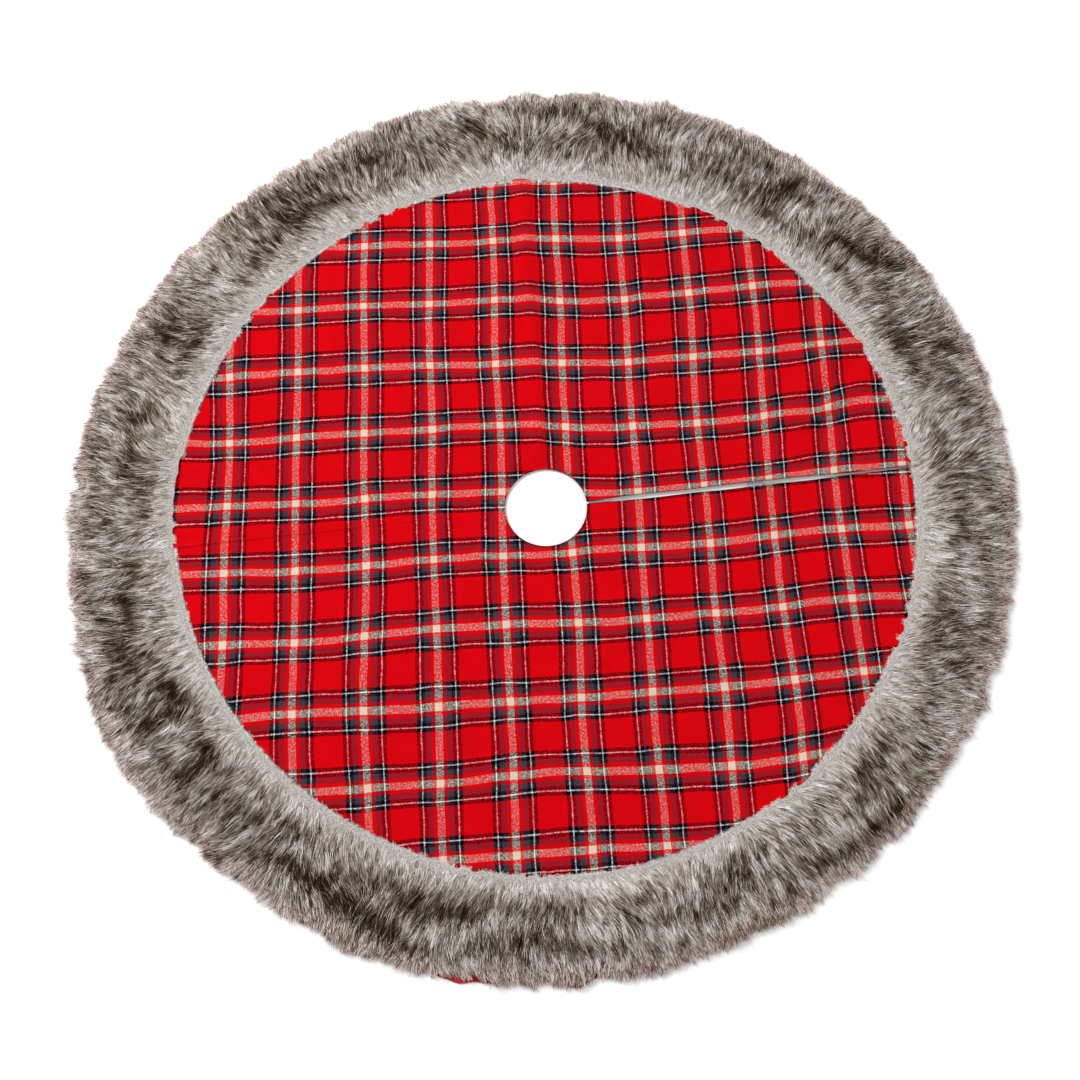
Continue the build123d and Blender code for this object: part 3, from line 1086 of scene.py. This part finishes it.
def box_path(low, high, inset, z):
    """A rectangle inside a tape's outline, with a line across it, as a machine sews it."""
    x0, x1 = low.x + inset, high.x - inset
    y0, y1 = low.y + inset, high.y - inset
    return np.array([(x0, y0, z), (x1, y0, z), (x1, y1, z), (x0, y1, z), (x0, y0, z), (x1, y1, z)])


def add_closures(hook_tape, loop_tape, red):
    """Hook strips under the left edge of the slit, and loop tabs that reach across from the right."""
    sewing = {"pitch": 2.3 * MM, "radius": 0.15 * MM, "dive": 0.2 * MM}
    inset = 1.6 * MM
    left_rows, right_rows = [], []
    for number, place in enumerate(CLOSURES):
        draw = np.random.default_rng(TAPE_SEED + number)
        node = f"hook_strip_{place}"
        low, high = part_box(node)
        root = low.z + 0.5 * MM
        strip = joined([plate(low, high, root, high.z), hooks(low, high, root, low.z + 0.02 * MM, draw)])
        rigid(f"hook_tape_{place}", strip, hook_tape, "left_flap", node)
        left_rows.append(stitches_along(box_path(low, high, inset, root - 0.1 * MM), **sewing))

        node = f"loop_tab_{place}"
        low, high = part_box(node)
        under, root = 0.18 * MM, 0.48 * MM
        # the tab is sewn on its own side of the slit, and its loops begin there
        sewn_high, loop_low = high.copy(), low.copy()
        sewn_high.y, loop_low.y = -3.5 * MM, -2.5 * MM
        tab = joined([plate(low, high, under, root), loops(loop_low, high, root, high.z + 0.12 * MM, draw)])
        rigid(f"loop_tape_{place}", tab, loop_tape, "right_flap", node)
        right_rows.append(stitches_along(box_path(low, sewn_high, inset, under + 0.01 * MM), **sewing))
    for side_name, rows in (("left", left_rows), ("right", right_rows)):
        name, node = f"tape_stitches_{side_name}", f"closure_stitching_{side_name}"
        rigid(name, joined(rows), red, f"{side_name}_flap", node)


def add_joint_seams(grey):
    """Zigzag stitches that join the fur strips, on the underside of their backing."""
    corners = 30
    zigzag = 1.1 * MM * np.where(np.arange(corners) % 2, 1, -1)
    radius = np.linspace(fur_inner + 8 * MM, skirt_radius - 30 * MM, corners)
    for degrees in (90, 180, 270):
        x, y = polar(1.0, degrees)
        x, y = radius * x, radius * y
        if degrees == 180:
            y = y + zigzag
        else:
            x = x + zigzag - 1.4 * MM  # just on the still side of the fold
        path = np.stack([x, y, 1.9 * MM + 0 * x], -1)
        name, node = f"joint_stitches_{degrees}", f"fur_joint_seam_{degrees}"
        rigid(name, stitches_along(path), grey, "skirt_back", node)


def add_label(satin_cloth, red):
    """A small blank ribbon on the underside, sewn down along both short ends."""
    low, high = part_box("care_label")
    u, v = np.meshgrid(np.linspace(0, 1, 60), np.linspace(0, 1, 30), indexing="ij")
    x = low.x + u * (high.x - low.x)
    y = low.y + v * (high.y - low.y)
    loose = np.sin(math.pi * u)
    top = (0.42 - 0.08 * loose + 0.05 * np.sin(u * 14 + v * 3) * loose) * MM
    points, faces, _ = shell(x, y, top, 0.2 * MM, 0.04 * MM, 1)
    rigid("care_label_ribbon", (points, faces), satin_cloth, "right_flap", "care_label")
    rows = []
    for end in (low.x + 1.5 * MM, high.x - 1.5 * MM):
        span = np.linspace(low.y + 1 * MM, high.y - 1 * MM, 12)
        path = np.stack([end + 0 * span, span, 0.2 * MM + 0 * span], -1)
        rows.append(stitches_along(path, pitch=2.4 * MM, radius=0.13 * MM, dive=0.1 * MM))
    rigid("label_stitches", joined(rows), red, "right_flap")


# ---- run

add_camera()
add_studio()
plaid_cloth = tartan()
red_lining = lining_cloth()
for side_name in SIDES:
    add_lining(side_name, red_lining)
    add_plaid(side_name, plaid_cloth)
dense = underfur()
tones = pile_materials()
for number, quarter in enumerate(QUARTERS):
    add_fur(quarter, number, dense, tones)

red_thread = thread("red_thread", srgb(176, 10, 20))
grey_thread = thread("grey_thread", srgb(150, 146, 142))
for side_name in SIDES:
    add_seams(side_name, red_thread, grey_thread)
# each tape's colour with painted light on its fluff, then with painted shade between
hook_tape = tape("hook_tape", srgb(226, 226, 232), srgb(184, 184, 192), 900, 0.0002)
loop_tape = tape("loop_tape", srgb(238, 236, 244), srgb(204, 202, 212), 1400, 0.0003)
add_closures(hook_tape, loop_tape, red_thread)
add_joint_seams(grey_thread)
add_label(satin(), red_thread)
